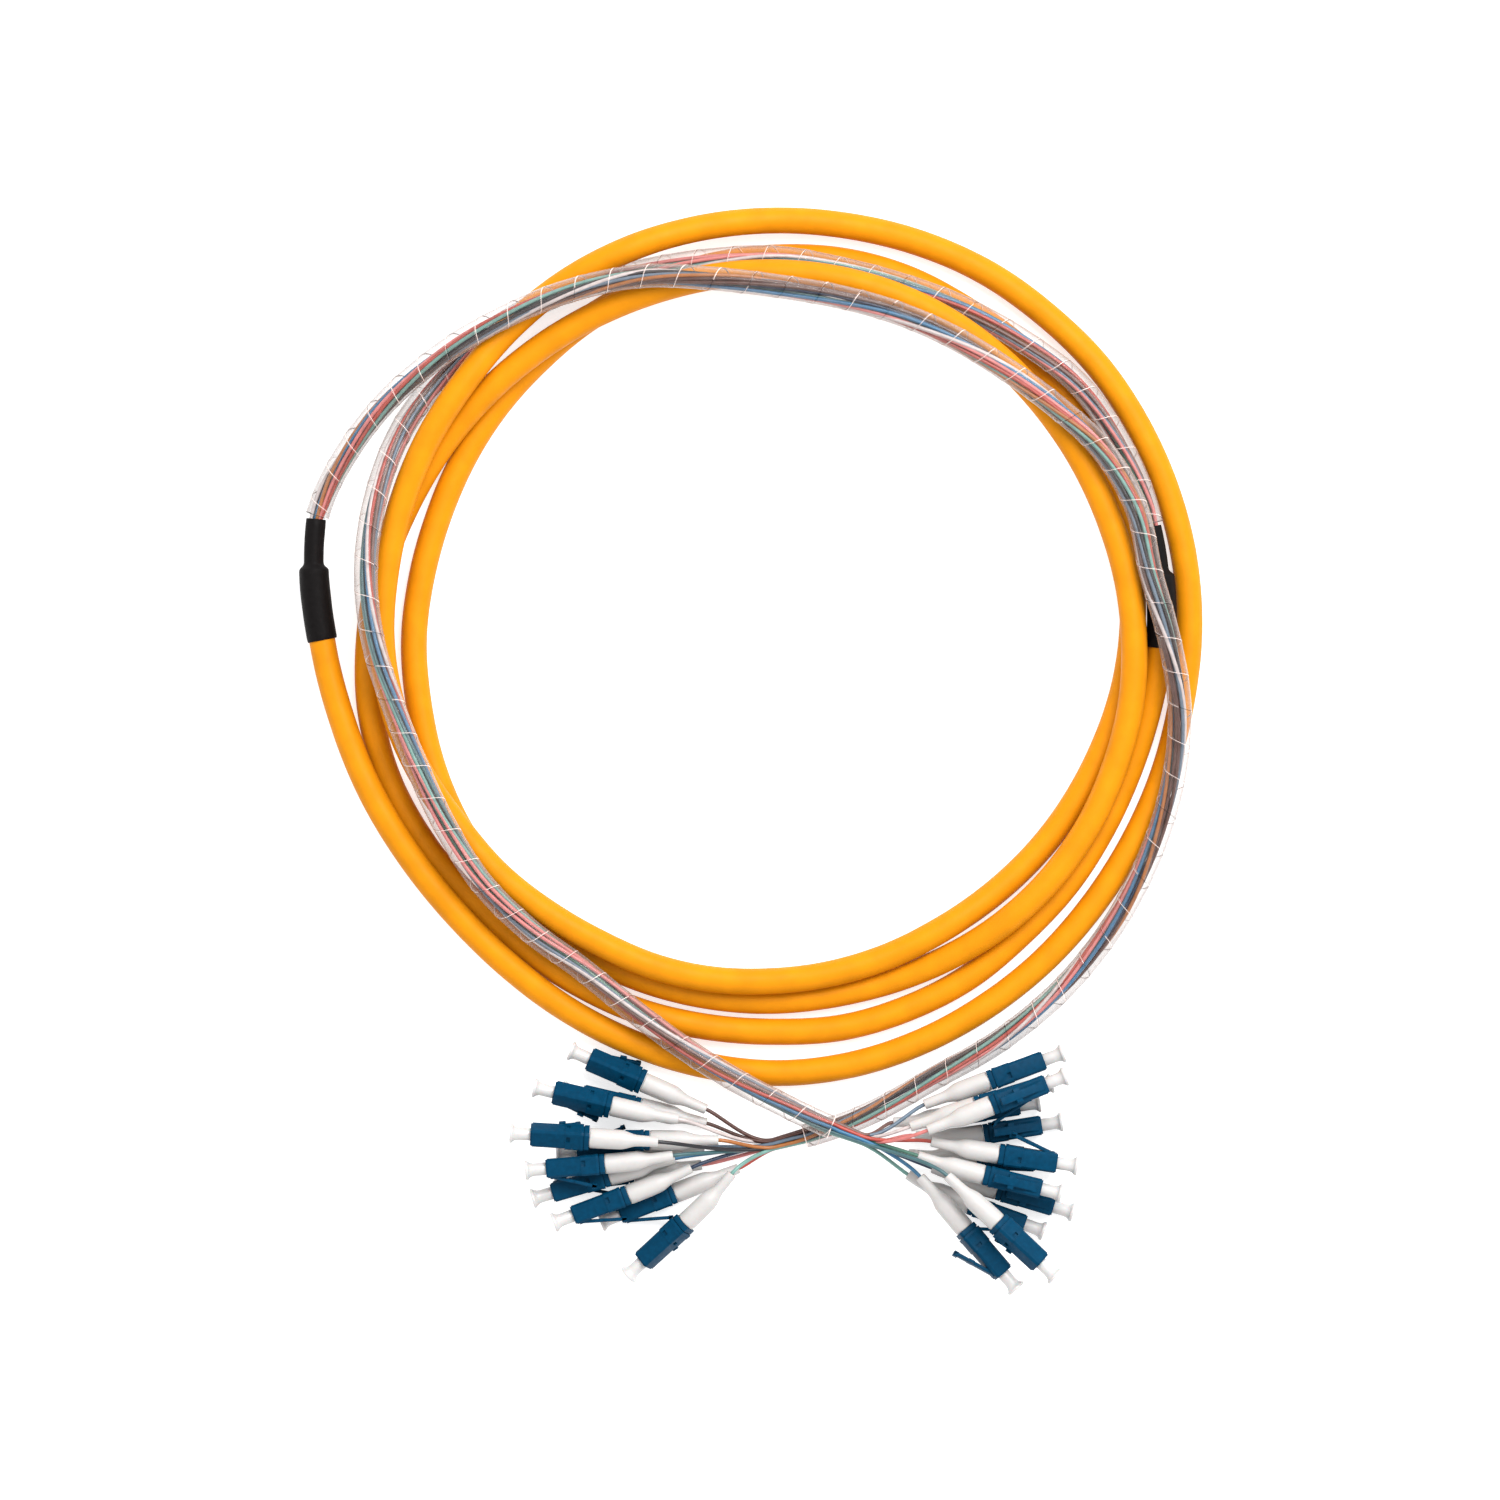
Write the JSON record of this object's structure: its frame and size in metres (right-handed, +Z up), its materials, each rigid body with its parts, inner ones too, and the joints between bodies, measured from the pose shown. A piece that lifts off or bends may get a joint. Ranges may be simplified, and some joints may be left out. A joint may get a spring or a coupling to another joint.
{
  "type": "fibre optic trunk cable",
  "caption": "Loosely coiled round fibre optic trunk cable with black furcation sleeves, clear spiral-wrapped tails and a fan of blue LC plugs with white boots and dust caps at both ends.",
  "frame": {"origin": "on the floor, under the middle of the part's plan outline", "axes": "+Z up from the floor, +Y from the crossed fan-outs across the coil to its far side, +X to the right as seen from above with the fan-outs nearest"},
  "size_m": [0.2119, 0.2554, 0.0234],
  "materials": {
    "orange_jacket": "satin",
    "black_sleeve": "matte",
    "clear_wrap": "clear gloss",
    "fibre_buffer": "satin, one colour for each fibre in the rendered part",
    "blue_housing": "satin",
    "white_boot": "satin"
  },
  "bodies": {
    "root": {"trunk_jacket": "orange_jacket", "furcation_sleeve_a": "black_sleeve", "furcation_sleeve_b": "black_sleeve", "spiral_wrap_a": "clear_wrap", "spiral_wrap_b": "clear_wrap", "fibre_bundle_a": "fibre_buffer", "fibre_bundle_b": "fibre_buffer", "lc_housing_a01": "blue_housing", "lc_core_a01": "white_boot", "lc_housing_a02": "blue_housing", "lc_core_a02": "white_boot", "lc_housing_a03": "blue_housing", "lc_core_a03": "white_boot", "lc_housing_a04": "blue_housing", "lc_core_a04": "white_boot", "lc_housing_a05": "blue_housing", "lc_core_a05": "white_boot", "lc_housing_a06": "blue_housing", "lc_core_a06": "white_boot", "lc_housing_a07": "blue_housing", "lc_core_a07": "white_boot", "lc_housing_a08": "blue_housing", "lc_core_a08": "white_boot", "lc_housing_a09": "blue_housing", "lc_core_a09": "white_boot", "lc_housing_a10": "blue_housing", "lc_core_a10": "white_boot", "lc_housing_a11": "blue_housing", "lc_core_a11": "white_boot", "lc_housing_a12": "blue_housing", "lc_core_a12": "white_boot", "lc_housing_b01": "blue_housing", "lc_core_b01": "white_boot", "lc_housing_b02": "blue_housing", "lc_core_b02": "white_boot", "lc_housing_b03": "blue_housing", "lc_core_b03": "white_boot", "lc_housing_b04": "blue_housing", "lc_core_b04": "white_boot", "lc_housing_b05": "blue_housing", "lc_core_b05": "white_boot", "lc_housing_b06": "blue_housing", "lc_core_b06": "white_boot", "lc_housing_b07": "blue_housing", "lc_core_b07": "white_boot", "lc_housing_b08": "blue_housing", "lc_core_b08": "white_boot", "lc_housing_b09": "blue_housing", "lc_core_b09": "white_boot", "lc_housing_b10": "blue_housing", "lc_core_b10": "white_boot", "lc_housing_b11": "blue_housing", "lc_core_b11": "white_boot", "lc_housing_b12": "blue_housing", "lc_core_b12": "white_boot"}
  },
  "joints": []
}
